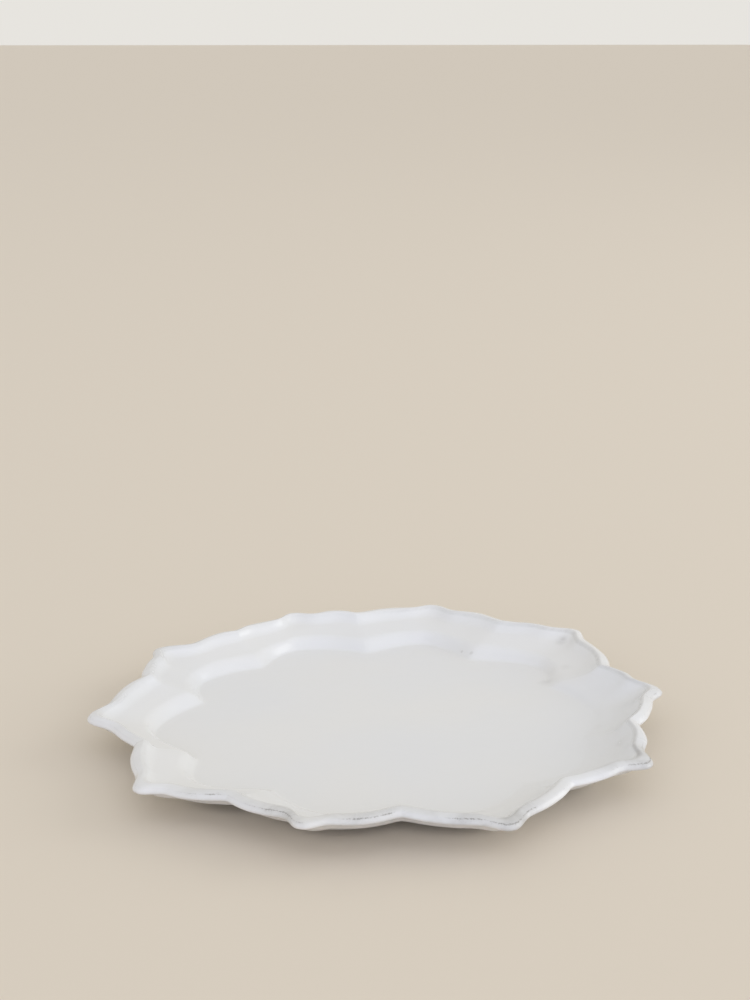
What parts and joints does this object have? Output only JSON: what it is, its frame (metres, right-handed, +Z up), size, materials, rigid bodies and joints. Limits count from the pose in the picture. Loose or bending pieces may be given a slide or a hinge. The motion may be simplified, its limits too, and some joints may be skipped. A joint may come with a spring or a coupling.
{
  "type": "dessert plate",
  "caption": "Round glazed dessert plate with a flat scalloped well, a stepped flange and a rim of pointed lobes, standing on a low foot ring.",
  "frame": {"origin": "the middle of the plate on the surface that its foot ring stands on", "axes": "+Z up, out of the well; +X through one lobe tip"},
  "size_m": [0.2326, 0.2237, 0.0194],
  "materials": {
    "biscuit_clay": "fired clay, bare and matte",
    "white_glaze": "milky white glaze, glossy, thin on edges"
  },
  "bodies": {
    "root": {"clay_body": "biscuit_clay", "foot_ring": "biscuit_clay", "face_glaze": "white_glaze", "underside_glaze": "white_glaze", "recess_glaze": "white_glaze"}
  },
  "joints": []
}
